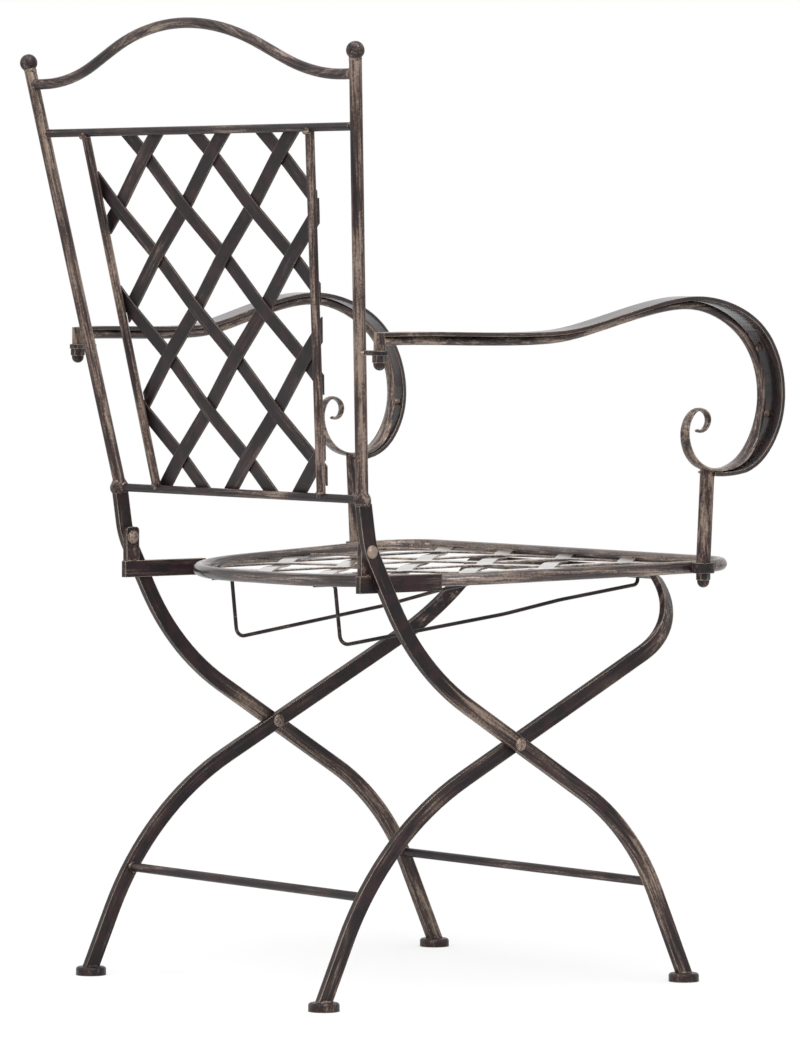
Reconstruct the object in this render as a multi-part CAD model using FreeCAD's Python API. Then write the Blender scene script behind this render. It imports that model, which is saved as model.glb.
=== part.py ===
import FreeCAD, Part
import math
import os

# Folding garden armchair of bent steel bar, with lift-off arms. Millimetres.
# Origin: on the floor, midway between the feet. The sitter faces -Y, +Z is up, +X is the sitter's left.
# Every piece is drawn on the +X side first and mirrored for the other side.

V = FreeCAD.Vector
MIDDLE = V(0, 0, 0)
ACROSS = V(1, 0, 0)
UP = V(0, 0, 1)

# Leg bars, flat on their sides
leg_bar_width = 16.0
leg_bar_thickness = 7.0
side_gap = 0.9              # between the front leg and what turns beside it
front_leg_x = 216.4         # middle of the front leg's thickness

# Front leg: foot, two bends, then in line with the upright
front_foot_y = -236.0
front_knee = (-162.0, 165.0, 250.0)      # y, z, bend radius
front_elbow = (117.6, 340.8, 265.0)
front_shoulder_radius = 80.0
front_leg_steepness = 63.2               # degrees, of the stretch below the upright

# Rear leg: the lower half of the hoop
rear_foot_y = 235.5
rear_knee = (156.5, 173.5, 330.0)
rear_elbow = (-235.2, 374.0, 90.0)
rear_elbow_lead = 90.0                   # straight stretch below the elbow's sharp corner, drawn with the hoop's top
hoop_shoulder = (154.0, -241.0, 427.0)   # x, y, z of the sharp corner; the hoop's top runs level from there
hoop_shoulder_radius = 30.0

# Feet
foot_diameter = 32.0
foot_height = 9.0
foot_edge_radius = 3.0

# Stretchers
stretcher_diameter = 9.5
front_stretcher_z = 107.0
rear_stretcher_z = 112.0

# Leg rivets and seat rivets
rivet_shank_diameter = 8.0
rivet_running_clearance = 0.06           # radial, where a bar turns on the shank
rivet_head_diameter = 14.0
rivet_head_height = 3.2
rivet_end_play = 0.3                     # under the inner head
leg_pivot_y = -12.0
leg_pivot_z = 259.5
seat_pivot_z = 463.0

# Back frame
upright_diameter = 13.0
upright_x_at_low_bar = 215.0
upright_y_at_low_bar = 188.0
low_bar_z = 516.0
back_lean = 8.2                          # degrees, backwards
back_flare = 9.6                         # degrees, outwards, in the upright's own run
upright_foot_z = 511.0
finial_rise = 23.0                       # of the balls' middles above the top rail's ends
finial_diameter = 18.6
finial_sink = 6.5                        # how far the upright stands inside its ball
back_bar_diameter = 8.6
high_bar_z = 891.0
back_post_diameter = 9.5
back_post_low_x = 146.0
back_post_high_x = 200.0
top_rail_diameter = 11.0
top_rail_end_z = 943.0
finial_z = top_rail_end_z + finial_rise
top_rail_shoulder_x = 217.0
top_rail_apex_rise = 84.0                # of the sharp outline, before its bends
top_rail_apex_radius = 360.0
top_rail_shoulder_radius = 269.0

# Lattice strips of the back and the seat
strip_width = 17.0
strip_thickness = 2.0
strip_gap = 0.1                          # between two strips where they cross
strip_flat = 24.0                        # level stretch of a strip at a crossing
back_lattice_x_step = 120.0
back_lattice_x = -15.0
back_lattice_row_share = 0.28            # of the height between the bars, per step down the lattice
back_lattice_top_share = 0.070           # from the upper bar down to the top row of crossings
back_lattice_reach = 9                   # crossings each way, enough to cross the panel
back_strip_stop = 4.0                    # short of the posts' outer sides
seat_lattice_step = 106.0
seat_lattice_y = 18.0                    # of the crossings that stand half a step off the middle
seat_lattice_reach = 6
seat_strip_drop = 2.0                    # below the middle of the ring's tube

# Seat ring
ring_tube_diameter = 13.0
ring_z_at_origin = 433.6
ring_slope = -0.0303                     # dz per dy: the front stands higher
ring_rear_y = 163.0
ring_front_y = -252.0
ring_rear_half_width = 201.6
ring_front_half_width = 296.4
ring_rear_corner_radius = 200.0
ring_front_corner_radius = 50.0

# Seat brackets and the tabs that stand on them
bracket_height = 17.5
bracket_rear_y = 188.5
bracket_front_y = 84.0
bracket_bottom_z = 420.5
tab_width = 16.0
tab_top_z = 474.0
tab_corner_radius = 4.0

# Guide wires below the seat: y, z of the route from the rear weld to the front weld
guide_wire_diameter = 4.0
guide_wire_rear_x = 90.0
guide_wire_front_x = 114.0
guide_wire_route = [(157.0, 423.2), (131.0, 423.2), (124.0, 360.0), (-80.0, 386.4), (-152.0, 399.3),
                    (-251.5, 412.7), (-253.0, 437.0)]
guide_wire_radii = [5.0, 10.0, 300.0, 300.0, 6.0]

# Arms. The arm stands in a sheet that leans outwards and curves in plan.
arm_lean = 3.8                           # degrees, outwards
arm_plan_x = 325.0                       # of the sheet at arm_plan_z, where it runs straight fore and aft
arm_plan_z = 700.0
arm_plan_y = -200.0
arm_plan_radius = 1527.0
arm_rod_diameter = 9.2
arm_band_width = 30.0
arm_band_thickness = 4.2
arm_band_offset = 6.4                    # of the band's middle, outwards from the rod's
arm_rear_z = 676.6                       # middle of the rod, along the level stretch
arm_band_least_gap = 0.05                # where the band lies on the rod
arm_band_gap = 5.3                       # between rod and band round the front
arm_band_gap_opens = (0.48, 0.61)        # shares of the rod's length where the gap opens
arm_band_gap_closes = (0.70, 0.80)       # and where it closes again
arm_band_end_y = -186.0
arm_band_end_width = 9.0                 # at the collar and on the post
arm_band_taper = 28.0                    # length over which the band narrows to each end
# y, z of the rod's middle line, from the level stretch round the front to the scroll's tip
arm_rod_route = [(120.0, 676.6), (45.0, 676.4), (8.0, 679.0), (-30.0, 687.5), (-75.0, 700.0),
                 (-115.0, 709.0), (-155.0, 711.0), (-191.0, 700.5), (-221.0, 680.5), (-243.0, 648.5),
                 (-250.0, 616.0), (-245.0, 582.0), (-227.0, 552.0), (-191.0, 540.8), (-164.5, 550.0),
                 (-150.8, 574.0), (-153.5, 594.5), (-166.0, 604.0), (-179.0, 596.0), (-176.5, 584.5),
                 (-166.0, 582.0)]
scroll_flat_width = 22.0                 # of the rod once it is hammered flat for the scroll
scroll_flat_thickness = 4.4
scroll_tip_width = 8.0
scroll_tip_thickness = 3.4
scroll_flat_from = 0.68                  # share of the rod's length where the flattening starts
scroll_flat_to = 0.79                    # where it is fully flat
peg_diameter = 7.0
peg_heights = (679.0, 600.0)             # z of the pegs between rod and band
post_diameter = 15.0
post_bottom_z = 445.0
post_y = -187.5
post_x_at_bottom = 301.0
post_top_z = 541.0                       # before the arm is cut out of it

# Arm fixings: an upright stud under the post and one under the rod's rear end, each in an eye with a cap nut
stud_diameter = 8.0
stud_clearance = 1.0                     # radial, in the eyes and in the nuts
front_eye_diameter = 23.0
front_eye_height = 11.0
rear_eye_diameter = 17.0
rear_eye_height = 5.0
rear_eye_y = 206.0
rear_collar_diameter = 12.0
rear_collar_drop = 4.6                   # below the rod
eye_neck_width = 10.0
nut_across_flats = 13.0
nut_hex_height = 7.0
nut_height = 15.0
nut_bore_depth = 11.0
stud_end_play = 5.0                      # below the stud, in the nut
nut_dome_share = 0.98                    # the dome's width as a share of the hexagon's

# How the pieces are drawn
past_piece = 20.0                        # how far a cutting shape runs past what it cuts
block_size = 800.0                       # of the blocks that cut a piece off at a plane
ellipse_margin = 0.001                   # an ellipse can't be a circle, so one half is longer by this
rod_sections = 110
rod_crowding = 1.6                       # above 1, the rod's sections stand closer towards the scroll's tip
band_sections = 100
band_share = 0.85                        # of the rod's length, more than the band follows
shortest_strip = 16.0                    # shorter bits at a panel's corner aren't made
shortest_run = 0.001                     # of a straight stretch between two bends

# Worked out from the sizes above
rear_leg_x = front_leg_x - leg_bar_thickness - side_gap
back_y_slope = math.tan(math.radians(back_lean))
back_x_slope = math.tan(math.radians(back_flare))
arm_lean_slope = math.tan(math.radians(arm_lean))
rod_radius = arm_rod_diameter / 2
weave_lift = (strip_thickness + strip_gap) / 2
back_up = V(0, math.sin(math.radians(back_lean)), math.cos(math.radians(back_lean)))

os.makedirs("parts", exist_ok=True)


def save(shape, name):
    """Writes one piece to its own file."""
    shape.exportStep("parts/" + name + ".step")


def save_pair(shape, name):
    """Writes the +X piece as NAME_left and its mirror image as NAME_right."""
    save(shape, name + "_left")
    save(shape.mirror(MIDDLE, ACROSS), name + "_right")


def both_sides(shape):
    """The piece and its mirror image as one group."""
    return Part.makeCompound([shape, shape.mirror(MIDDLE, ACROSS)])


def side_point(x, place):
    """A point from its x and a (y, z) pair."""
    return V(x, place[0], place[1])


def rounded_route(points, radii):
    """A wire of straight runs joined by tangent arcs, one radius for each inner point."""
    edges = []
    start = points[0]
    for corner, after, radius, before in zip(points[1:], points[2:], radii, points):
        back = (before - corner).normalize()
        forward = (after - corner).normalize()
        half = math.acos(max(-1.0, min(1.0, back.dot(forward)))) / 2
        reach = radius / math.tan(half)
        first = corner + back * reach
        last = corner + forward * reach
        centre = corner + (back + forward).normalize() * (radius / math.sin(half))
        middle = centre + (corner - centre).normalize() * radius
        if (first - start).Length > shortest_run:
            edges.append(Part.LineSegment(start, first).toShape())
        edges.append(Part.Arc(first, middle, last).toShape())
        start = last
    edges.append(Part.LineSegment(start, points[-1]).toShape())
    return Part.Wire(edges)


def round_bar(route, diameter):
    """A round bar along a wire."""
    start = route.OrderedEdges[0]
    at = start.valueAt(start.FirstParameter)
    section = Part.Wire([Part.makeCircle(diameter / 2, at, start.tangentAt(start.FirstParameter))])
    return route.makePipeShell([section], True, False)


def rod_between(start, end, diameter):
    """A straight round bar."""
    return Part.makeCylinder(diameter / 2, (end - start).Length, start, end - start)


def flat_bar(route, breadth_direction, breadth, depth, normal=None):
    """A flat bar along a plane wire. Its breadth lies along the plane's normal where none is given."""
    start = route.OrderedEdges[0]
    at = start.valueAt(start.FirstParameter)
    along = start.tangentAt(start.FirstParameter)
    side = breadth_direction * (breadth / 2)
    thick = along.cross(breadth_direction).normalize() * (depth / 2)
    corners = [at + side + thick, at - side + thick, at - side - thick, at + side - thick, at + side + thick]
    sweep = Part.BRepOffsetAPI.MakePipeShell(route)
    sweep.setBiNormalMode(breadth_direction if normal is None else normal)
    sweep.add(Part.makePolygon(corners))
    sweep.build()
    sweep.makeSolid()
    return sweep.shape()


def slab(low, high):
    """A box between two corners."""
    size = high - low
    return Part.makeBox(size.x, size.y, size.z, low)


def beyond(at, outwards):
    """A block past a plane, for cutting a piece off there."""
    block = Part.makeBox(block_size, block_size, block_size, V(-block_size / 2, -block_size / 2, 0))
    block.Placement = FreeCAD.Placement(at, FreeCAD.Rotation(UP, outwards))
    return block


def biggest(shape):
    """The main solid that a cut leaves."""
    return max(shape.Solids, key=lambda solid: solid.Volume)


def back_point(x, z, behind=0.0):
    """A point of the back's plane, or behind it, square to it."""
    y = upright_y_at_low_bar + back_y_slope * (z - low_bar_z)
    return V(x, y, z) + V(0, back_up.z, -back_up.y) * behind


def upright_x(z):
    return upright_x_at_low_bar + back_x_slope * (z - low_bar_z)


def front_leg_route():
    """Plane route of the front leg, from inside the foot to the upright."""
    steep = math.tan(math.radians(front_leg_steepness))
    elbow_y, elbow_z, elbow_radius = front_elbow
    knee_y, knee_z, knee_radius = front_knee
    shoulder_z = (elbow_z + steep * (upright_y_at_low_bar - back_y_slope * low_bar_z - elbow_y)) / (
        1 - steep * back_y_slope)
    points = [side_point(front_leg_x, place) for place in (
        (front_foot_y, 0.0), (knee_y, knee_z), (elbow_y, elbow_z))]
    points.append(back_point(front_leg_x, shoulder_z))
    points.append(back_point(front_leg_x, upright_foot_z + leg_bar_width))
    return rounded_route(points, [knee_radius, elbow_radius, front_shoulder_radius])


def rear_leg_route():
    """Plane route of the rear leg, from inside the foot to the start of the hoop's top."""
    knee_y, knee_z, knee_radius = rear_knee
    foot = V(rear_leg_x, rear_foot_y, 0)
    knee = V(rear_leg_x, knee_y, knee_z)
    return rounded_route([foot, knee, rear_elbow_point - rear_leg_run * rear_elbow_lead], [knee_radius])


def y_at_height(route, z):
    """Where a leg's middle line stands at a height."""
    level = Part.Plane(V(0, 0, z), UP).toShape()
    return route.distToShape(level)[1][0][0].y


def floor_cut(shape):
    """Takes off what reaches into the foot."""
    return shape.cut(beyond(V(0, 0, foot_height), -UP))


rear_elbow_point = V(rear_leg_x, rear_elbow[0], rear_elbow[1])
rear_leg_run = (rear_elbow_point - V(rear_leg_x, rear_knee[0], rear_knee[1])).normalize()
front_leg_line = front_leg_route()
rear_leg_line = rear_leg_route()
seat_pivot_y = y_at_height(front_leg_line, seat_pivot_z)


def rivet_hole(y, z, extra):
    """A bar along X for cutting a rivet's hole."""
    start = V(front_leg_x - past_piece, y, z)
    return Part.makeCylinder(rivet_shank_diameter / 2 + extra, 2 * past_piece, start, ACROSS)


def make_front_leg():
    bar = floor_cut(flat_bar(front_leg_line, ACROSS, leg_bar_thickness, leg_bar_width))
    bar = bar.cut(beyond(back_point(front_leg_x, upright_foot_z), back_up))
    bar = bar.cut(rivet_hole(leg_pivot_y, leg_pivot_z, 0.0))
    return bar.cut(rivet_hole(seat_pivot_y, seat_pivot_z, 0.0))


def make_rivet(y, z):
    """Shank through the front leg and the bar beside it, with a low round head at each end."""
    outer = front_leg_x + leg_bar_thickness / 2
    inner = rear_leg_x - leg_bar_thickness / 2 - rivet_end_play
    shank = Part.makeCylinder(rivet_shank_diameter / 2, outer - inner, V(inner, y, z), ACROSS)
    return shank.fuse([dome(V(outer, y, z), ACROSS), dome(V(inner, y, z), -ACROSS)])


def dome(at, outwards):
    """A rivet head: a slice of a ball."""
    half = rivet_head_diameter / 2
    ball_radius = (half * half + rivet_head_height ** 2) / (2 * rivet_head_height)
    ball = Part.makeSphere(ball_radius, at - outwards * (ball_radius - rivet_head_height))
    return ball.common(Part.makeCylinder(half, 2 * rivet_head_height, at, outwards))


def make_hoop():
    """Both rear legs and the top that joins them: one bent bar."""
    leg = floor_cut(flat_bar(rear_leg_line, ACROSS, leg_bar_thickness, leg_bar_width))
    shoulder = V(*hoop_shoulder)
    climb = (shoulder - rear_elbow_point).normalize()
    elbow_reach = rear_elbow[2] * math.tan(rear_leg_run.getAngle(climb) / 2)
    shoulder_reach = hoop_shoulder_radius * math.tan(climb.getAngle(-ACROSS) / 2)
    straight = (shoulder - rear_elbow_point).Length - elbow_reach - shoulder_reach
    between = rear_elbow_point + climb * (elbow_reach + straight / 2)
    lower = rounded_route([rear_elbow_point - rear_leg_run * rear_elbow_lead, rear_elbow_point, between],
                          [rear_elbow[2]])
    upper = rounded_route([between, shoulder, V(0, shoulder.y, shoulder.z)], [hoop_shoulder_radius])
    elbow_bend = flat_bar(lower, ACROSS, leg_bar_thickness, leg_bar_width, rear_leg_run.cross(climb).normalize())
    thin_way = FreeCAD.Rotation(rear_leg_run, climb).multVec(ACROSS)
    shoulder_bend = flat_bar(upper, thin_way, leg_bar_thickness, leg_bar_width, climb.cross(-ACROSS).normalize())
    side = leg.fuse([elbow_bend, shoulder_bend])
    hoop = side.fuse(side.mirror(MIDDLE, ACROSS)).removeSplitter()
    hole = rivet_hole(leg_pivot_y, leg_pivot_z, rivet_running_clearance)
    return hoop.cut([hole, hole.mirror(MIDDLE, ACROSS)])


def make_stretcher(route, z, x):
    """A level bar between the inner faces of two legs."""
    y = y_at_height(route, z)
    return rod_between(V(-x, y, z), V(x, y, z), stretcher_diameter)


def make_foot(x, y):
    foot = Part.makeCylinder(foot_diameter / 2, foot_height, V(x, y, 0))
    return foot.makeFillet(foot_edge_radius, [foot.Edges[0]])


def make_upright():
    bottom = back_point(upright_x(upright_foot_z), upright_foot_z)
    top = back_point(upright_x(finial_z), finial_z)
    along = (top - bottom).normalize()
    bar = rod_between(bottom - along * upright_diameter, top - along * finial_sink, upright_diameter)
    return bar.cut(beyond(bottom, -back_up))


def make_finial(upright):
    ball = Part.makeSphere(finial_diameter / 2, back_point(upright_x(finial_z), finial_z))
    return ball.cut(upright)


def make_back_bar(z, uprights):
    reach = upright_x(z)
    return rod_between(back_point(-reach, z), back_point(reach, z), back_bar_diameter).cut(uprights)


def make_top_rail(uprights):
    reach = upright_x(top_rail_end_z)
    apex_z = top_rail_end_z + top_rail_apex_rise
    outline = [(-reach, top_rail_end_z), (-top_rail_shoulder_x, top_rail_end_z), (0.0, apex_z),
               (top_rail_shoulder_x, top_rail_end_z), (reach, top_rail_end_z)]
    radii = [top_rail_shoulder_radius, top_rail_apex_radius, top_rail_shoulder_radius]
    route = rounded_route([back_point(x, z) for x, z in outline], radii)
    return round_bar(route, top_rail_diameter).cut(uprights)


def post_x(z):
    share = (z - low_bar_z) / (high_bar_z - low_bar_z)
    return back_post_low_x + share * (back_post_high_x - back_post_low_x)


def make_back_post(bars):
    behind = (back_post_diameter - back_bar_diameter) / 2      # flush with the bars in front
    low = back_point(post_x(low_bar_z), low_bar_z, behind)
    high = back_point(post_x(high_bar_z), high_bar_z, behind)
    return rod_between(low, high, back_post_diameter).cut(bars)


def woven_strip(reach, step, side):
    """A strip along X with its breadth along Y, over and under at its crossings.

    The crossings are numbered from -reach to reach. At number 0 the strip lies above for a side of 1
    and below for a side of -1, and it changes over at each next one."""
    upper, lower = [], []
    for number in range(-reach, reach + 1):
        level = weave_lift * side * (-1) ** number
        for x in (number * step - strip_flat / 2, number * step + strip_flat / 2):
            upper.append(V(x, -strip_width / 2, level + strip_thickness / 2))
            lower.append(V(x, -strip_width / 2, level - strip_thickness / 2))
    outline = upper + lower[::-1] + [upper[0]]
    return Part.Face(Part.makePolygon(outline)).extrude(V(0, strip_width, 0))


def lattice(reach, placement, panel, origin, x_step, y_step, direction):
    """The strips of one direction that a panel holds, each cut to it.

    Rows of crossings stand every half y_step. Direction 1 rises with x and -1 falls."""
    step = math.hypot(x_step, y_step) / 2
    angle = math.degrees(math.atan2(y_step, x_step)) * direction
    least = strip_width * strip_thickness * shortest_strip
    strips = []
    for index in range(-reach, reach + 1):
        strip = woven_strip(reach, step, direction)
        start = origin + V(index * x_step, 0, 0)
        strip.Placement = placement.multiply(FreeCAD.Placement(start, FreeCAD.Rotation(UP, angle)))
        solids = [solid for solid in strip.common(panel).Solids if solid.Volume > least]
        if solids:
            strips.append(biggest(Part.makeCompound(solids)))
    return strips


def panel_of(face):
    """A thick panel on both sides of a face that lies about level."""
    panel = face.extrude(V(0, 0, 2 * past_piece))
    panel.translate(V(0, 0, -past_piece))
    return panel


def back_placement():
    """Takes plane x, y, z to the back: x along X, y up the lean, z to the front."""
    before = back_bar_diameter / 2 + weave_lift + strip_thickness / 2
    origin = back_point(0, low_bar_z, -before)
    return FreeCAD.Placement(origin, FreeCAD.Rotation(ACROSS, 90.0 - back_lean))


def back_panel(placement):
    """The space between the posts and bars that the back's strips fill."""
    past = back_post_diameter / 2 - back_strip_stop
    low_x = back_post_low_x + past
    high_x = back_post_high_x + past
    height = (high_bar_z - low_bar_z) / back_up.z
    corners = [V(-low_x, 0, 0), V(low_x, 0, 0), V(high_x, height, 0), V(-high_x, height, 0)]
    panel = panel_of(Part.Face(Part.makePolygon(corners + corners[:1])))
    panel.Placement = placement.multiply(panel.Placement)
    return panel


def make_back_strips():
    placement = back_placement()
    panel = back_panel(placement)
    height = (high_bar_z - low_bar_z) / back_up.z
    origin = V(back_lattice_x, height * (1 - back_lattice_top_share), 0)
    y_step = height * back_lattice_row_share
    for direction, name in ((1, "back_strip_up_right"), (-1, "back_strip_up_left")):
        strips = lattice(back_lattice_reach, placement, panel, origin, back_lattice_x_step, y_step, direction)
        for number, strip in enumerate(strips, 1):
            save(strip, name + "_" + str(number))


def ring_z(y):
    return ring_z_at_origin + ring_slope * y


def ring_route():
    corners = [(ring_front_half_width, ring_front_y), (ring_rear_half_width, ring_rear_y)]
    outline = corners + [(-x, y) for x, y in reversed(corners)]
    start = V(0, ring_front_y, ring_z(ring_front_y))
    points = [start] + [V(x, y, ring_z(y)) for x, y in outline] + [start]
    radii = [ring_front_corner_radius, ring_rear_corner_radius]
    return rounded_route(points, radii + radii[::-1])


ring_line = ring_route()


def ring_side_x(y):
    share = (y - ring_front_y) / (ring_rear_y - ring_front_y)
    return ring_front_half_width + share * (ring_rear_half_width - ring_front_half_width)


def make_seat_strips(ring):
    tilt = math.degrees(math.atan(ring_slope))
    placement = FreeCAD.Placement(V(0, 0, ring_z_at_origin - seat_strip_drop), FreeCAD.Rotation(ACROSS, tilt))
    panel = panel_of(Part.Face(ring_line))
    step = seat_lattice_step
    origin = V(step / 2, seat_lattice_y, 0)
    for direction, name in ((1, "seat_strips_one_way"), (-1, "seat_strips_other_way")):
        strips = lattice(seat_lattice_reach, placement, panel, origin, step, step, direction)
        save(Part.makeCompound([strip.cut(ring) for strip in strips]), name)


def make_bracket(ring):
    """Level bar inside the front leg, bevelled against the ring at its front end."""
    half = leg_bar_thickness / 2
    low = V(rear_leg_x - half, bracket_front_y, bracket_bottom_z)
    high = V(rear_leg_x + half, bracket_rear_y, bracket_bottom_z + bracket_height)
    return biggest(slab(low, high).cut(ring))


def make_tab():
    half = leg_bar_thickness / 2
    low = V(rear_leg_x - half, seat_pivot_y - tab_width / 2, bracket_bottom_z + bracket_height)
    tab = slab(low, V(rear_leg_x + half, seat_pivot_y + tab_width / 2, tab_top_z))
    across = [edge for edge in tab.Edges if abs(edge.tangentAt(0).x) > 0.9]
    corners = [edge for edge in across if edge.CenterOfMass.z > tab_top_z - tab_corner_radius]
    tab = tab.makeFillet(tab_corner_radius, corners)
    return tab.cut(rivet_hole(seat_pivot_y, seat_pivot_z, rivet_running_clearance))


def make_guide_wire(ring):
    start_y = guide_wire_route[0][0]
    run = start_y - guide_wire_route[-1][0]
    veer = guide_wire_front_x - guide_wire_rear_x
    points = [V(guide_wire_rear_x + veer * (start_y - y) / run, y, z) for y, z in guide_wire_route]
    return biggest(round_bar(rounded_route(points, guide_wire_radii), guide_wire_diameter).cut(ring))


def arm_x(y, z):
    """The leaning, gently curved sheet in which the arm lies."""
    plan = arm_plan_x
    if y > arm_plan_y:
        plan -= arm_plan_radius - math.sqrt(arm_plan_radius ** 2 - (y - arm_plan_y) ** 2)
    return plan + arm_lean_slope * (z - arm_plan_z)


def arm_curve():
    """The rod's middle line as one smooth curve in side view."""
    places = [(rear_eye_y, arm_rear_z)] + arm_rod_route
    curve = Part.BSplineCurve()
    curve.interpolate([V(0, y, z) for y, z in places])
    return curve


def arm_stations(count, end, crowding=1.0):
    """Places on the rod's middle line up to a share of its length.

    Each holds its share, its point, its direction and its outward normal in side view."""
    curve = arm_curve()
    length = curve.length()
    stations = []
    for index in range(count + 1):
        share = end * (1 - (1 - index / count) ** crowding)
        at = curve.parameterAtDistance(share * length, curve.FirstParameter)
        point = curve.value(at)
        along = curve.tangent(at)[0]
        outwards = V(0, -along.z, along.y) * -1
        stations.append((share, point, along, outwards))
    return stations


def blend(value, low, high):
    """Smooth step from 0 at low to 1 at high."""
    share = max(0.0, min(1.0, (value - low) / (high - low)))
    return share * share * (3 - 2 * share)


def oval(at, along, half_x, half_other):
    """An oval section square to a direction, with one axis along X."""
    normal = along.cross(ACROSS).normalize()
    if half_x >= half_other:
        ellipse = Part.Ellipse(at + ACROSS * half_x, at + normal * half_other, at)
    else:
        ellipse = Part.Ellipse(at + normal * half_other, at + ACROSS * half_x, at)
    return Part.Wire([ellipse.toShape()])


def rod_half_sizes(share):
    """Half the rod's breadth along X and half its thickness at a share of its length."""
    flat = blend(share, scroll_flat_from, scroll_flat_to)
    tip = max(0.0, (share - scroll_flat_to) / (1 - scroll_flat_to))
    wide = scroll_flat_width + (scroll_tip_width - scroll_flat_width) * tip
    thin = scroll_flat_thickness + (scroll_tip_thickness - scroll_flat_thickness) * tip
    return rod_radius + (wide / 2 - rod_radius) * flat, rod_radius + (thin / 2 - rod_radius) * flat


def make_arm_rod():
    """Round rod below the band, hammered flat and rolled into the scroll."""
    sections = []
    for share, point, along, outwards in arm_stations(rod_sections, 1.0, rod_crowding):
        half_x, half_other = rod_half_sizes(share)
        at = V(arm_x(point.y, point.z), point.y, point.z)
        sections.append(oval(at, along, half_x + ellipse_margin, half_other))
    return Part.makeLoft(sections, True, True)


def band_gap(share):
    """Gap between rod and band at a share of the rod's length."""
    opened = blend(share, *arm_band_gap_opens) * (1 - blend(share, *arm_band_gap_closes))
    return arm_band_least_gap + (arm_band_gap - arm_band_least_gap) * opened


def band_stations():
    """Places on the band's middle line, from its rear end to its lower end on the post."""
    stations = []
    for share, point, along, outwards in arm_stations(band_sections, band_share):
        middle = point + outwards * (rod_half_sizes(share)[1] + band_gap(share) + arm_band_thickness / 2)
        if share > arm_band_gap_closes[0] and middle.y > arm_band_end_y:
            break
        stations.append((middle, along, outwards))
    return stations


def make_arm_band():
    """Flat band outside the rod, narrowed and drawn in over the rod at both its ends."""
    sections = []
    stations = band_stations()
    ends = [stations[0][0], stations[-1][0]]
    for middle, along, outwards in stations:
        full = min(1.0, min((middle - end).Length for end in ends) / arm_band_taper)
        at = V(arm_x(middle.y, middle.z) + arm_band_offset * full, middle.y, middle.z)
        half = ACROSS * ((arm_band_end_width + (arm_band_width - arm_band_end_width) * full) / 2)
        thick = outwards * (arm_band_thickness / 2)
        corners = [at + half + thick, at - half + thick, at - half - thick, at + half - thick]
        sections.append(Part.makePolygon(corners + corners[:1]))
    return Part.makeLoft(sections, True, True)


def lowest(shape):
    """The lowest of the solids that a cut leaves."""
    return min(shape.Solids, key=lambda solid: solid.CenterOfMass.z)


def post_axis():
    """Direction of the post, which leans outwards with the arm."""
    return V(arm_lean_slope, 0, 1).normalize()


def make_post(arm):
    bottom = V(post_x_at_bottom, post_y, post_bottom_z)
    along = post_axis()
    post = rod_between(bottom, bottom + along * (post_top_z - post_bottom_z), post_diameter).cut(arm)
    return lowest(post).cut(beyond(bottom, -UP))


def eye_with_neck(top, diameter, height, carrier_x, carrier):
    """A bored disc below a level, with a short neck to what carries it."""
    low = top - UP * height
    half = V(0, eye_neck_width / 2, 0)
    neck = slab(V(carrier_x, low.y, low.z) - half, top + half)
    eye = biggest(rod_between(low, top, diameter).fuse(neck).removeSplitter().cut(carrier))
    return eye.cut(rod_between(low, top, stud_diameter + 2 * stud_clearance))


def make_cap_nut(top):
    """A domed nut below a level, with a blind bore."""
    corner_radius = nut_across_flats / math.sqrt(3)
    angles = [math.radians(60 * number) for number in range(7)]
    hexagon = [V(math.cos(angle), math.sin(angle), 0) * corner_radius for angle in angles]
    body = Part.Face(Part.makePolygon(hexagon)).extrude(V(0, 0, -nut_hex_height))
    dome_radius = nut_across_flats / 2 * nut_dome_share
    dome_middle = V(0, 0, dome_radius - nut_height)
    ball = Part.makeSphere(dome_radius, dome_middle)
    barrel = rod_between(dome_middle, V(0, 0, -nut_hex_height / 2), 2 * dome_radius)
    nut = body.fuse([ball, barrel]).removeSplitter()
    nut = nut.cut(rod_between(V(0, 0, -nut_bore_depth), MIDDLE, stud_diameter + 2 * stud_clearance))
    nut.translate(top)
    return nut


def make_stud(top, eye_height):
    return rod_between(top - UP * (eye_height + nut_bore_depth - stud_end_play), top, stud_diameter)


def make_pegs(rod, band):
    """Short pegs between rod and band, round the front."""
    pegs = []
    stations = arm_stations(4 * band_sections, arm_band_gap_closes[1])
    front = [(point, outwards) for share, point, along, outwards in stations if share > arm_band_gap_opens[1]]
    for height in peg_heights:
        point, outwards = min(front, key=lambda place: abs(place[0].z - height))
        at = V(arm_x(point.y, point.z), point.y, point.z)
        reach = rod_radius + arm_band_gap + arm_band_thickness / 2
        pegs.append(biggest(Part.makeCylinder(peg_diameter / 2, reach, at, outwards).cut([rod, band])))
    return Part.makeCompound(pegs)


def build_back_frame():
    upright = make_upright()
    uprights = both_sides(upright)
    save_pair(upright, "upright")
    save_pair(make_finial(upright), "finial")
    save_pair(make_front_leg(), "front_leg")
    low_bar = make_back_bar(low_bar_z, uprights)
    high_bar = make_back_bar(high_bar_z, uprights)
    save(low_bar, "back_low_bar")
    save(high_bar, "back_high_bar")
    save(make_top_rail(uprights), "top_rail")
    save_pair(make_back_post(Part.makeCompound([low_bar, high_bar])), "back_post")
    make_back_strips()
    inner_x = front_leg_x - leg_bar_thickness / 2
    save(make_stretcher(front_leg_line, front_stretcher_z, inner_x), "front_stretcher")
    save_pair(make_foot(front_leg_x, y_at_height(front_leg_line, foot_height)), "front_foot")
    save(both_sides(make_rivet(leg_pivot_y, leg_pivot_z)), "leg_rivets")
    save(both_sides(make_rivet(seat_pivot_y, seat_pivot_z)), "seat_rivets")
    return upright


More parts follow.
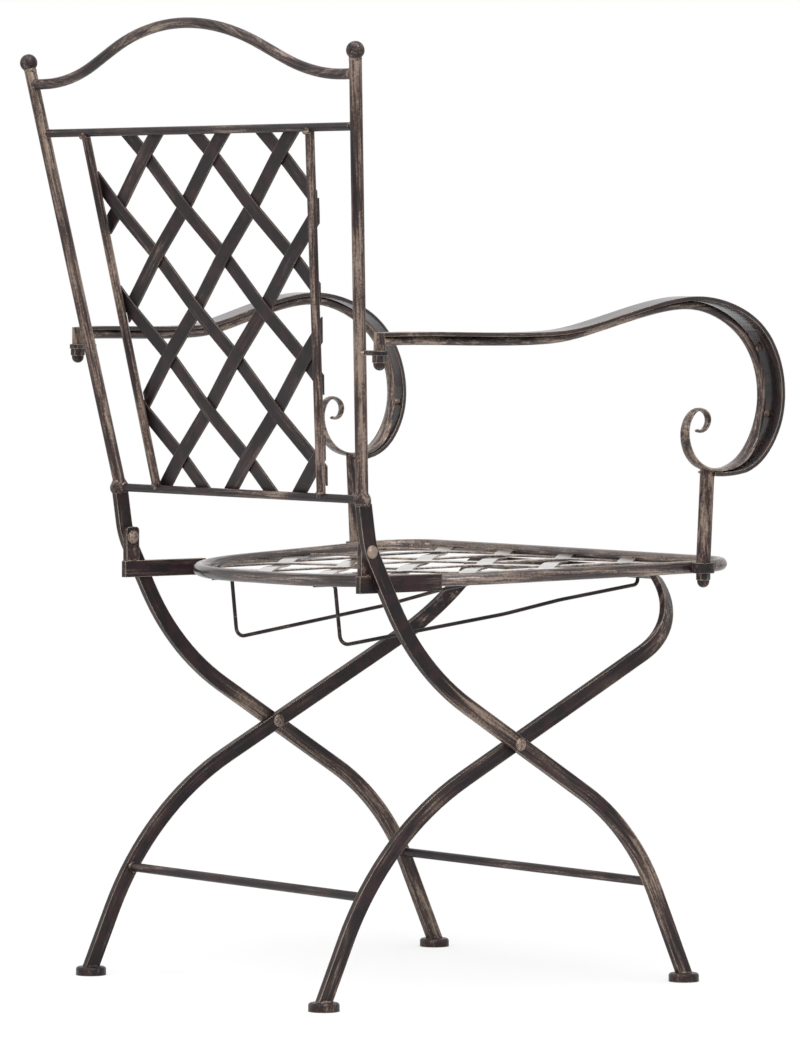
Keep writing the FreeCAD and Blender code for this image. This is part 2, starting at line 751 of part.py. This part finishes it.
def build_rear_legs():
    save(make_hoop(), "rear_leg_hoop")
    inner_x = rear_leg_x - leg_bar_thickness / 2
    save(make_stretcher(rear_leg_line, rear_stretcher_z, inner_x), "rear_stretcher")
    save_pair(make_foot(rear_leg_x, y_at_height(rear_leg_line, foot_height)), "rear_foot")


def build_seat():
    ring = round_bar(ring_line, ring_tube_diameter)
    save(ring, "seat_ring")
    make_seat_strips(ring)
    save_pair(make_bracket(ring), "seat_bracket")
    save_pair(make_tab(), "seat_tab")
    save_pair(make_guide_wire(ring), "guide_wire")
    eye_top = V(post_x_at_bottom, post_y, post_bottom_z)
    eye = eye_with_neck(eye_top, front_eye_diameter, front_eye_height, ring_side_x(post_y), ring)
    save_pair(eye, "front_arm_eye")
    save(both_sides(make_cap_nut(eye_top - UP * front_eye_height)), "front_cap_nuts")


def build_arms(upright):
    collar_bottom = arm_rear_z - rod_radius - rear_collar_drop
    rear_top = V(arm_x(rear_eye_y, arm_rear_z), rear_eye_y, collar_bottom)
    collar_height = rear_collar_drop + arm_rod_diameter + arm_band_thickness
    collar = rod_between(rear_top, rear_top + UP * collar_height, rear_collar_diameter)
    rod = biggest(make_arm_rod().cut(collar))
    band = biggest(make_arm_band().cut(collar))
    save_pair(collar, "rear_collar")
    save_pair(rod, "arm_rod")
    save_pair(band, "arm_band")
    save_pair(make_pegs(rod, band), "arm_pegs")
    save_pair(make_post(Part.makeCompound([rod, band])), "arm_post")
    front_top = V(post_x_at_bottom, post_y, post_bottom_z)
    studs = [make_stud(front_top, front_eye_height), make_stud(rear_top, rear_eye_height)]
    save_pair(Part.makeCompound(studs), "arm_studs")
    eye = eye_with_neck(rear_top, rear_eye_diameter, rear_eye_height, upright_x(collar_bottom), upright)
    save_pair(eye, "rear_arm_eye")
    save(both_sides(make_cap_nut(rear_top - UP * rear_eye_height)), "rear_cap_nuts")


upright = build_back_frame()
build_rear_legs()
build_seat()
build_arms(upright)
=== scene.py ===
import math

import bpy
from mathutils import Matrix, Vector


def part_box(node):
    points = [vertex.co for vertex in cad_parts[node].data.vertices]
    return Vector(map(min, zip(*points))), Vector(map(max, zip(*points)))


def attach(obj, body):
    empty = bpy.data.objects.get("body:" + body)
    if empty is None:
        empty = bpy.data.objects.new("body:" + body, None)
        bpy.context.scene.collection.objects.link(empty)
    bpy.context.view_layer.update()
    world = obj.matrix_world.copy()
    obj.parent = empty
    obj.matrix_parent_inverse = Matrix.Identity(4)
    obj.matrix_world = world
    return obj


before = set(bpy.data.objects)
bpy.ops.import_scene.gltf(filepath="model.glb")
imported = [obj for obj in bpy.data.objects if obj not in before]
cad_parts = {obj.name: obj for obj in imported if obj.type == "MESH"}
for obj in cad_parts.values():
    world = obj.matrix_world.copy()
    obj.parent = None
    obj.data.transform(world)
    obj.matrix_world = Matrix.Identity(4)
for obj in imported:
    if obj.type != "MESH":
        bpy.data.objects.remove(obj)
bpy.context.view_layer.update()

print("frame loaded:", len(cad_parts), "nodes")


# Shader wiring: a wrapped socket understands + - * ** > and abs

class Wire:
    def __init__(self, finish, socket):
        self.finish = finish
        self.socket = socket

    def calc(self, operation, left, right=0.0, clamp=False):
        settings = {"operation": operation, "use_clamp": clamp}
        return self.finish.add("ShaderNodeMath", settings, {0: left, 1: right})

    def __add__(self, other):
        return self.calc("ADD", self, other)

    def __radd__(self, other):
        return self.calc("ADD", other, self)

    def __sub__(self, other):
        return self.calc("SUBTRACT", self, other)

    def __rsub__(self, other):
        return self.calc("SUBTRACT", other, self)

    def __mul__(self, other):
        return self.calc("MULTIPLY", self, other)

    def __pow__(self, other):
        return self.calc("POWER", self, other)

    def __abs__(self):
        return self.calc("ABSOLUTE", self)

    def __gt__(self, other):
        return self.calc("GREATER_THAN", self, other)

    def limited(self):
        return self.calc("ADD", self, 0.0, clamp=True)

    def output(self, name):
        return Wire(self.finish, self.socket.node.outputs[name])


class Finish:
    def __init__(self, name, world=None):
        self.owner = world or bpy.data.materials.new(name)
        self.owner.use_nodes = True
        self.tree = self.owner.node_tree
        self.tree.nodes.clear()

    def add(self, kind, settings=None, inputs=None, output=0):
        node = self.tree.nodes.new(kind)
        for key, value in (settings or {}).items():
            setattr(node, key, value)
        for key, value in (inputs or {}).items():
            if isinstance(value, Wire):
                self.tree.links.new(value.socket, node.inputs[key])
            else:
                node.inputs[key].default_value = value
        return Wire(self, node.outputs[output]) if node.outputs else None

    def split(self, place):
        parts = self.add("ShaderNodeSeparateXYZ", None, {0: place})
        return parts, parts.output("Y"), parts.output("Z")

    def join(self, x, y, z):
        return self.add("ShaderNodeCombineXYZ", None, {0: x, 1: y, 2: z})

    def step(self, value, low, high):
        # smooth rise from 0 at low to 1 at high
        settings = {"interpolation_type": "SMOOTHSTEP", "clamp": True}
        return self.add("ShaderNodeMapRange", settings, {"Value": value, "From Min": low, "From Max": high})

    def stepAround(self, value, middle, reach):
        return self.step(value, middle - reach, middle + reach)

    def blend(self, mask, under, over):
        return self.add("ShaderNodeMix", {"data_type": "RGBA"}, {0: mask, 6: under, 7: over}, output=2)

    def choose(self, mask, first, second):
        # first where the mask is 0, second where it is 1
        return first + (second - first) * mask

    def noise(self, place, scale, detail, roughness):
        return self.add("ShaderNodeTexNoise", {"noise_dimensions": "3D"},
                        {"Vector": place, "Scale": scale, "Detail": detail, "Roughness": roughness})

    def distance(self, x, y):
        return (x * x + y * y) ** 0.5


# Camera: stands behind the chair on the sitter's right, as in the photograph

cameraSettings = {
    "place": (-5.55037, 4.15434, 0.775876),
    "heading": 233.043,        # degrees from +Y, turning towards -X
    "lookDown": 2.4101,        # degrees
    "focalPixels": 6590.64,    # for an image as wide as imageWidth
    "imageWidth": 800,
    "sensor": 36.0,
    "farClip": 100,
}


def addCamera(settings):
    turn = (math.radians(90 - settings["lookDown"]), 0, math.radians(settings["heading"]))
    bpy.ops.object.camera_add(location=settings["place"], rotation=turn)
    camera = bpy.context.object
    camera.name = "photoCamera"
    camera.data.sensor_fit = "HORIZONTAL"
    camera.data.sensor_width = settings["sensor"]
    camera.data.lens = settings["focalPixels"] / settings["imageWidth"] * settings["sensor"]
    camera.data.clip_end = settings["farClip"]
    bpy.context.scene.camera = camera


addCamera(cameraSettings)
bpy.context.scene.view_settings.view_transform = "Standard"
print("camera done")


# Studio: white surroundings, one large lamp above and two at the sides

plainWhite = (1, 1, 1, 1)
studio = {
    "surround": 0.62,          # strength of the white world as light
    "floorSize": 60.0,
    "floorHeight": -0.0002,    # a hair below the soles
    "floorColour": (0.90, 0.90, 0.90, 1),
    "floorRoughness": 0.9,
    "floorSpecular": 0.1,
    "floorShare": 0.62,        # of plain white that the camera sees in the floor by the chair
    "floorFade": (0.7, 1.9),   # metres from the chair over which the floor goes over to plain white
    "aim": (0, 0, 0.5),        # the place that all lamps face
    "lamps": [
        {"name": "overhead", "place": (-0.6, 0.5, 3.2), "size": 2.6, "power": 85},
        {"name": "nearSide", "place": (-3.2, 1.2, 1.9), "size": 1.2, "power": 40},
        {"name": "farSide", "place": (1.8, 3.0, 1.8), "size": 1.2, "power": 26},
    ],
}


def addWorld(settings):
    world = bpy.data.worlds.new("whiteStudio")
    bpy.context.scene.world = world
    sky = Finish("whiteStudio", world)
    ray = sky.add("ShaderNodeLightPath", output="Is Camera Ray")
    shown = (ray + ray.output("Is Glossy Ray") + ray.output("Is Transmission Ray")).limited()
    strength = settings["surround"] + shown * (1 - settings["surround"])
    light = sky.add("ShaderNodeBackground", None, {"Color": plainWhite, "Strength": strength})
    sky.add("ShaderNodeOutputWorld", None, {"Surface": light})


def addFloor(settings):
    bpy.ops.mesh.primitive_plane_add(size=settings["floorSize"], location=(0, 0, settings["floorHeight"]))
    floor = bpy.context.object
    floor.name = "studioFloor"
    paper = Finish("paleFloor")
    place = paper.add("ShaderNodeTexCoord", output="Object")
    x, y = paper.split(place)[:2]
    far = paper.step(paper.distance(x, y), *settings["floorFade"])
    paint = paper.add("ShaderNodeBsdfPrincipled", None, {
        "Base Color": settings["floorColour"],
        "Roughness": settings["floorRoughness"],
        "Specular IOR Level": settings["floorSpecular"],
    })
    white = paper.add("ShaderNodeEmission", None, {"Color": plainWhite, "Strength": 1.0})
    seen = paper.add("ShaderNodeLightPath", output="Is Camera Ray")
    share = seen * (settings["floorShare"] + far * (1 - settings["floorShare"]))
    mixed = paper.add("ShaderNodeMixShader", None, {0: share, 1: paint, 2: white})
    paper.add("ShaderNodeOutputMaterial", None, {"Surface": mixed})
    floor.data.materials.append(paper.owner)


def addLamps(settings):
    for lamp in settings["lamps"]:
        place = Vector(lamp["place"])
        aim = (Vector(settings["aim"]) - place).to_track_quat("-Z", "Y").to_euler()
        bpy.ops.object.light_add(type="AREA", location=place, rotation=aim)
        light = bpy.context.object
        light.name = lamp["name"]
        light.data.size = lamp["size"]
        light.data.energy = lamp["power"]


addWorld(studio)
addFloor(studio)
addLamps(studio)
print("studio done")


# Brush directions: each gives two coordinates across a bar and one along it, in metres

backSlopes = {
    "lean": math.tan(math.radians(8.2)),
    "uprightFlare": math.tan(math.radians(9.6)),
    "postFlare": 0.144,
    "stripAngle": math.radians(41.5),
}
railBow = {"rise": 0.062, "halfSpan": 0.217}
frontLegLine = {
    # y and z of the corners, and the radii of the bends between the ends
    "points": [(-0.236, 0.0), (-0.162, 0.165), (0.1176, 0.3408), (0.1808, 0.4659), (0.1896, 0.527)],
    "radii": [0.25, 0.265, 0.08],
}
rearLegLine = {
    "points": [(0.2355, 0.0), (0.1565, 0.1735), (-0.2352, 0.3740), (-0.2410, 0.4270)],
    "radii": [0.33, 0.09],
}
legSlant = 1.3                     # roughly the length of a leg for each metre of its height
armLine = {
    "rise": 0.034,
    "climb": (0.03, -0.14),        # y where the rise starts and where it ends
    "centre": (-0.165, 0.622),     # y and z of the loop's middle
    "radius": 0.085,
    "loop": (-0.15, 0.64),         # the loop is all that lies in front of this y or below this z
    "soft": 0.02,
}
ringLine = {
    "sideNormal": (0.9749, 0.2227),
    "rearCentre": (0.0421, -0.037),
    "rearY": 0.0075,               # behind this the ring is an arc
    "rearSoft": 0.03,
    "frontY": -0.243,              # in front of this it runs level across
    "frontSoft": 0.008,
}


def brushUp(flare):
    def brush(finish, x, y, z):
        return abs(x) - z * flare, y - z * backSlopes["lean"], z
    return brush


def brushAcross(finish, x, y, z):
    return y, z, x


def brushForward(finish, x, y, z):
    return x, z, y


def brushEven(finish, x, y, z):
    return x, y, z


def brushRail(finish, x, y, z):
    angle = x * (math.pi / railBow["halfSpan"])
    bow = (angle.calc("COSINE", angle) + 1) * (railBow["rise"] / 2)
    return z - bow, y, x


def brushBackStrip(side):
    sine = math.sin(backSlopes["stripAngle"])
    cosine = math.cos(backSlopes["stripAngle"])

    def brush(finish, x, y, z):
        return z * cosine - x * (side * sine), y - z * backSlopes["lean"], x * (side * cosine) + z * sine
    return brush


def brushSeatStrip(side):
    half = math.sqrt(0.5)          # sine and cosine of 45 degrees

    def brush(finish, x, y, z):
        return x * half - y * (side * half), z, x * half + y * (side * half)
    return brush


def brushAlong(line):
    # follows a plane route of straight runs and arcs that rises all the way
    points = [Vector(point) for point in line["points"]]

    def brush(finish, x, y, z):
        across = None
        start = points[0]
        for corner, after, radius, before in zip(points[1:], points[2:], line["radii"], points):
            back = (before - corner).normalized()
            forward = (after - corner).normalized()
            half = back.angle(forward) / 2
            first = corner + back * (radius / math.tan(half))
            last = corner + forward * (radius / math.tan(half))
            centre = corner + (back + forward).normalized() * (radius / math.sin(half))
            normal = Vector((-back.y, back.x))
            straight = (y - start.x) * normal.x + (z - start.y) * normal.y
            across = straight if across is None else finish.choose(z > start.y, across, straight)
            side = 1 if (first - centre).dot(normal) > 0 else -1
            arc = (finish.distance(y - centre.x, z - centre.y) - radius) * side
            across = finish.choose(z > first.y, across, arc)
            start = last
        run = (points[-1] - start).normalized()
        normal = Vector((run.y, -run.x))
        straight = (y - start.x) * normal.x + (z - start.y) * normal.y
        return finish.choose(z > start.y, across, straight), x, z * legSlant
    return brush


def brushArm(finish, x, y, z):
    centreY, centreZ = armLine["centre"]
    climbStart, climbEnd = armLine["climb"]
    loopY, loopZ = armLine["loop"]
    climb = finish.step(0 - y, -climbStart, -climbEnd) * armLine["rise"]
    behind = finish.stepAround(y, loopY, armLine["soft"])
    loop = 1 - behind * finish.stepAround(z, loopZ, armLine["soft"])
    spread = finish.distance(y - centreY, z - centreZ) + (centreZ - armLine["rise"])
    turned = y.calc("ARCTAN2", centreZ - z, centreY - y) + math.pi / 2      # 0 at the loop's top
    along = centreY - turned * armLine["radius"]
    return finish.choose(loop, z - climb, spread), x, finish.choose(loop, y, along)


def brushRing(finish, x, y, z):
    normalX, normalY = ringLine["sideNormal"]
    centreX, centreY = ringLine["rearCentre"]
    out = abs(x)
    past = out.calc("MAXIMUM", out - centreX, 0.0)
    arc = finish.distance(past, y - centreY) + (centreX * normalX + centreY * normalY)
    rear = finish.stepAround(y, ringLine["rearY"], ringLine["rearSoft"])
    front = 1 - finish.stepAround(y, ringLine["frontY"], ringLine["frontSoft"])
    across = finish.choose(rear, out * normalX + y * normalY, arc)
    return finish.choose(front, across, y), z, y - out


# Finishes: near-black paint, brushed over with bronze and rubbed bright on the edges

paintColours = {
    "paint": (0.0080, 0.0055, 0.0068, 1),
    "plum": (0.0230, 0.0095, 0.0115, 1),      # reddish patches in the paint
    "brown": (0.048, 0.030, 0.026, 1),        # the thin rim of the bronze
    "bronze": (0.250, 0.188, 0.150, 1),
    "bright": (0.50, 0.40, 0.30, 1),
}
paintNoises = {
    # scale, detail and roughness; streak and broad are drawn out along the bar
    "streak": (620, 5.0, 0.6),
    "broad": (150, 2.0, 0.5),
    "cloud": (13, 2.0, 0.5),
    "grain": (1500, 2.0, 0.5),
    "speck": (420, 3.0, 0.7),
    "patch": (46, 3.0, 0.6),
}
plainIron = {
    # what a look doesn't set itself
    "stretch": 0.05,              # the smaller, the longer the brush marks
    "gloss": 0.34,                # roughness
    "relief": 0.30,               # strength of the bump
    "coat": 0.0,
    "paintedShadeHeights": None,            # heights between which the bronze thins out: painted shade, the part higher up is painted darker
    # how much bronze
    "streakShare": 0.50,
    "broadShare": 0.50,
    "cloudShare": 0.35,
    "paintedShadeLoss": 0.15,
    "bronzeFrom": 0.66,           # level of the marks where bronze starts on an unworn bar
    "bronzeGain": 0.30,           # how far full wear lowers it
    "bronzeFade": 0.17,
    "bronzeSpeck": 0.30,
    "brownFade": (-0.10, 0.06),   # from the bronze's start
    "plumFade": (0.42, 0.66),
    "plumSpeck": 0.25,
    # rubbed edges
    "edgeRadius": 0.0014,
    "edgeSamples": 4,
    "edgeFade": (0.01, 0.12),
    "rubFade": (0.42, 0.66),
    "rubCloud": 0.5,
    "rubStreak": 0.5,
    "rubSpeck": 0.2,
    # surface
    "grainHeight": 0.4,
    "streakHeight": 0.5,
    "speckHeight": 0.4,
    "reliefDepth": 0.0003,
    "speckGloss": 0.10,
    "bronzeGloss": 0.04,
    "bronzeMetal": 0.45,
    "edgeMetal": 0.4,
    "specular": 0.24,
    "coatGloss": 0.14,
}
seatStrip = {"wear": 0.70, "edge": 0.5, "gloss": 0.20, "relief": 0.10, "coat": 0.9}
ironLooks = {
    "upright": {"brush": brushUp(backSlopes["uprightFlare"]), "wear": 0.72, "edge": 0.5},
    "post": {"brush": brushUp(backSlopes["postFlare"]), "wear": 0.72, "edge": 0.4},
    "bar": {"brush": brushAcross, "wear": 0.30, "edge": 0.4},
    "rail": {"brush": brushRail, "wear": 0.44, "edge": 0.4},
    # the front leg has painted shade: less bronze on its upper part
    "frontLeg": {"brush": brushAlong(frontLegLine), "wear": 0.56, "edge": 1.0, "paintedShadeHeights": (0.27, 0.36)},
    "rearLeg": {"brush": brushAlong(rearLegLine), "wear": 0.34, "edge": 0.9},
    "armRod": {"brush": brushArm, "wear": 0.70, "edge": 0.9, "coat": 0.3},
    "armBand": {"brush": brushArm, "wear": 0.24, "edge": 0.8, "relief": 0.15, "coat": 0.6},
    "stripUpRight": {"brush": brushBackStrip(1), "wear": 0.10, "edge": 0.5},
    "stripUpLeft": {"brush": brushBackStrip(-1), "wear": 0.10, "edge": 0.5},
    "seatStripOne": {"brush": brushSeatStrip(-1), **seatStrip},
    "seatStripOther": {"brush": brushSeatStrip(1), **seatStrip},
    "ring": {"brush": brushRing, "wear": 0.62, "edge": 0.4, "relief": 0.2, "coat": 0.6},
    "bracket": {"brush": brushForward, "wear": 0.22, "edge": 0.9},
    "wire": {"brush": brushForward, "wear": 0.25, "edge": 0.0},
    "small": {"brush": brushEven, "stretch": 0.6, "wear": 0.35, "edge": 0.9},
    "rubbed": {"brush": brushEven, "stretch": 0.6, "wear": 0.95, "edge": 1.0},
    "foot": {"brush": brushEven, "stretch": 0.4, "wear": 0.36, "edge": 0.8},
    "weld": {"brush": brushEven, "stretch": 1.0, "wear": 0.66, "edge": 0.0},
}


def makeIron(name, look):
    iron = {**plainIron, **look}
    finish = Finish(name)
    place = finish.add("ShaderNodeTexCoord", output="Object")
    x, y, z = finish.split(place)
    across, other, along = iron["brush"](finish, x, y, z)
    brushed = finish.join(across, other, along * iron["stretch"])
    streak = finish.noise(brushed, *paintNoises["streak"])
    broad = finish.noise(brushed, *paintNoises["broad"])
    cloud = finish.noise(place, *paintNoises["cloud"])
    grain = finish.noise(place, *paintNoises["grain"])
    speck = finish.noise(place, *paintNoises["speck"])
    patch = finish.noise(place, *paintNoises["patch"])

    level = streak * iron["streakShare"] + broad * iron["broadShare"] + (cloud - 0.5) * iron["cloudShare"]
    # painted shade: less bronze above the given heights, so the upper part reads darker
    if iron["paintedShadeHeights"]:
        level = level - finish.step(z, *iron["paintedShadeHeights"]) * iron["paintedShadeLoss"]
    start = iron["bronzeFrom"] - iron["wear"] * iron["bronzeGain"]
    brownLow, brownHigh = iron["brownFade"]
    brownMask = finish.step(level, start + brownLow, start + brownHigh)
    bronzeMask = finish.step(level + (speck - 0.5) * iron["bronzeSpeck"], start, start + iron["bronzeFade"])
    plumMask = finish.step(patch + (speck - 0.5) * iron["plumSpeck"], *iron["plumFade"])

    # an edge is where the rounded normal leaves the flat one
    rounded = finish.add("ShaderNodeBevel", {"samples": iron["edgeSamples"]}, {"Radius": iron["edgeRadius"]})
    flat = finish.add("ShaderNodeNewGeometry", output="Normal")
    same = finish.add("ShaderNodeVectorMath", {"operation": "DOT_PRODUCT"},
                      {0: rounded, 1: flat}, output="Value")
    edge = finish.step(1 - same, *iron["edgeFade"]) * iron["edge"]
    rub = cloud * iron["rubCloud"] + streak * iron["rubStreak"] + speck * iron["rubSpeck"]
    edgeMask = edge * finish.step(rub, *iron["rubFade"])

    colour = finish.blend(plumMask, paintColours["paint"], paintColours["plum"])
    colour = finish.blend(brownMask, colour, paintColours["brown"])
    colour = finish.blend(bronzeMask, colour, paintColours["bronze"])
    colour = finish.blend(edgeMask, colour, paintColours["bright"])
    height = grain * iron["grainHeight"] + streak * iron["streakHeight"] + speck * iron["speckHeight"]
    bump = finish.add("ShaderNodeBump", None, {
        "Strength": iron["relief"],
        "Distance": iron["reliefDepth"],
        "Height": height,
        "Normal": rounded,
    })
    shader = finish.add("ShaderNodeBsdfPrincipled", None, {
        "Base Color": colour,
        "Roughness": iron["gloss"] + speck * iron["speckGloss"] - bronzeMask * iron["bronzeGloss"],
        "Metallic": (bronzeMask * iron["bronzeMetal"] + edgeMask * iron["edgeMetal"]).limited(),
        "Specular IOR Level": iron["specular"],
        "Coat Weight": iron["coat"],
        "Coat Roughness": iron["coatGloss"],
        "Normal": bump,
    })
    finish.add("ShaderNodeOutputMaterial", None, {"Surface": shader})
    return finish.owner


irons = {name: makeIron(name + "Iron", look) for name, look in ironLooks.items()}

# how the nodes' names start, and their look; all others get the small one
nodeFinishes = [
    (("upright",), "upright"),
    (("back_post", "arm_post", "rear_collar"), "post"),
    (("back_low_bar", "back_high_bar", "front_stretcher", "rear_stretcher"), "bar"),
    (("top_rail",), "rail"),
    (("front_leg",), "frontLeg"),
    (("rear_leg",), "rearLeg"),
    (("arm_rod",), "armRod"),
    (("arm_band",), "armBand"),
    (("back_strip_up_right",), "stripUpRight"),
    (("back_strip_up_left",), "stripUpLeft"),
    (("seat_strips_one",), "seatStripOne"),
    (("seat_strips_other",), "seatStripOther"),
    (("seat_ring",), "ring"),
    (("seat_bracket",), "bracket"),
    (("guide_wire",), "wire"),
    (("arm_pegs", "leg_rivets", "seat_rivets"), "rubbed"),
    (("front_foot", "rear_foot"), "foot"),
]
for name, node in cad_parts.items():
    chosen = "small"
    for starts, look in nodeFinishes:
        if name.startswith(starts):
            chosen = look
    node.data.materials.clear()
    node.data.materials.append(irons[chosen])
print("finishes done")


# Weld beads: small lumps where the bars meet, the same on both sides

weldBead = {
    "lumps": 0.17,     # how uneven, as a share of the bead's radius
    "seed": 11,
    "fineness": 2,
    "turn": 2.4,       # radians from bead to bead
}
lowBarPlace = Vector((0.215, 0.188, 0.516))     # the upright's middle at the low bar
toInnerSide = Vector((-0.0072, 0, 0))           # from the upright's middle to its inner side
intoPost = Vector((0, 0, -0.0030))
intoLeg = 0.0015                                # how far the stretchers' welds stand in from their ends


def upright(height):
    # the upright's middle at a height above the floor
    up = height - lowBarPlace.z
    out = up * backSlopes["uprightFlare"]
    back = up * backSlopes["lean"]
    return Vector((lowBarPlace.x + out, lowBarPlace.y + back, height))


def topOf(node):
    low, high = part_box(node)
    return (low + high) / 2 + Vector((0, 0, (high.z - low.z) / 2))


def endOf(node, inset):
    # the middle of a level bar's +X end
    low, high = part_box(node)
    middle = (low + high) / 2
    return Vector((high.x - inset, middle.y, middle.z))


# place and half sizes along x, y and z, in metres, on the +X side
weldPlaces = {
    "back_frame": {
        "finial": (upright(0.9575), (0.0076, 0.0076, 0.0032)),
        "topRail": (upright(0.943) + toInnerSide, (0.0034, 0.0064, 0.0064)),
        "highBar": (upright(0.891) + toInnerSide, (0.0034, 0.0056, 0.0058)),
        "lowBar": (upright(0.516) + toInnerSide, (0.0040, 0.0062, 0.0060)),
        "frontLeg": (upright(0.5165) + Vector((0.0012, 0.0006, 0)), (0.0088, 0.0106, 0.0104)),
        "postFoot": (Vector((0.1468, 0.1905, 0.5206)), (0.0062, 0.0052, 0.0030)),
        "postTop": (Vector((0.1992, 0.2450, 0.8862)), (0.0062, 0.0052, 0.0030)),
        "rearArmEye": (Vector((0.2462, 0.2086, 0.6645)), (0.0040, 0.0056, 0.0036)),
        "stretcher": (endOf("front_stretcher", intoLeg), (0.0030, 0.0062, 0.0062)),
        "foot": (topOf("front_foot_left"), (0.0070, 0.0098, 0.0024)),
    },
    "rear_legs": {
        "stretcher": (endOf("rear_stretcher", intoLeg), (0.0030, 0.0062, 0.0062)),
        "foot": (topOf("rear_foot_left"), (0.0070, 0.0098, 0.0024)),
    },
    "seat": {
        "tab": (Vector((0.2085, 0.1787, 0.4384)), (0.0042, 0.0094, 0.0022)),
        "bracket": (Vector((0.2075, 0.0870, 0.4318)), (0.0042, 0.0050, 0.0056)),
        "frontArmEye": (Vector((0.2868, -0.1875, 0.4380)), (0.0040, 0.0060, 0.0036)),
        "wireRear": (Vector((0.0900, 0.1540, 0.4250)), (0.0032, 0.0048, 0.0024)),
        "wireFront": (Vector((0.1140, -0.2520, 0.4342)), (0.0032, 0.0034, 0.0022)),
    },
    "arm": {
        "post": (topOf("arm_post_left") + intoPost, (0.0084, 0.0088, 0.0028)),
        "collar": (Vector((0.2685, 0.2000, 0.6766)), (0.0054, 0.0026, 0.0046)),
    },
}


def modelBead(settings):
    bpy.ops.object.select_all(action="DESELECT")
    bpy.ops.mesh.primitive_ico_sphere_add(subdivisions=settings["fineness"], radius=1)
    bead = bpy.context.object
    bead.name = "weldBead"
    bpy.ops.object.mode_set(mode="EDIT")
    bpy.ops.mesh.select_all(action="SELECT")
    bpy.ops.transform.vertex_random(offset=settings["lumps"], normal=1.0, seed=settings["seed"])
    bpy.ops.object.mode_set(mode="OBJECT")
    smoother = bead.modifiers.new("smoother", "SUBSURF")
    smoother.levels = settings["fineness"]
    smoother.render_levels = settings["fineness"]
    bpy.ops.object.modifier_apply(modifier=smoother.name)
    bpy.ops.object.shade_smooth()
    bead.data.materials.append(irons["weld"])
    return bead


def copyBead(bead, place, size, turn):
    copy = bead.copy()
    copy.data = bead.data.copy()
    bpy.context.collection.objects.link(copy)
    turned = Matrix.Rotation(turn, 4, "Z") @ Matrix.Rotation(turn * 2, 4, "X")
    copy.data.transform(Matrix.Translation(place) @ Matrix.Diagonal((*size, 1)) @ turned)
    return copy


def addWelds(bead, name, body, places, sides):
    copies = []
    for side in sides:
        for place, size in places.values():
            turn = (len(copies) + 1) * weldBead["turn"]
            copies.append(copyBead(bead, Vector((side * place.x, place.y, place.z)), size, turn))
    bpy.ops.object.select_all(action="DESELECT")
    for copy in copies:
        copy.select_set(True)
    bpy.context.view_layer.objects.active = copies[0]
    bpy.ops.object.join()
    welds = bpy.context.object
    welds.name = name
    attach(welds, body)


bead = modelBead(weldBead)
for body in ("back_frame", "rear_legs", "seat"):
    addWelds(bead, "welds_" + body, body, weldPlaces[body], (1, -1))
addWelds(bead, "welds_arm_left", "arm_left", weldPlaces["arm"], (1,))
addWelds(bead, "welds_arm_right", "arm_right", weldPlaces["arm"], (-1,))
bpy.data.objects.remove(bead)
print("welds done")
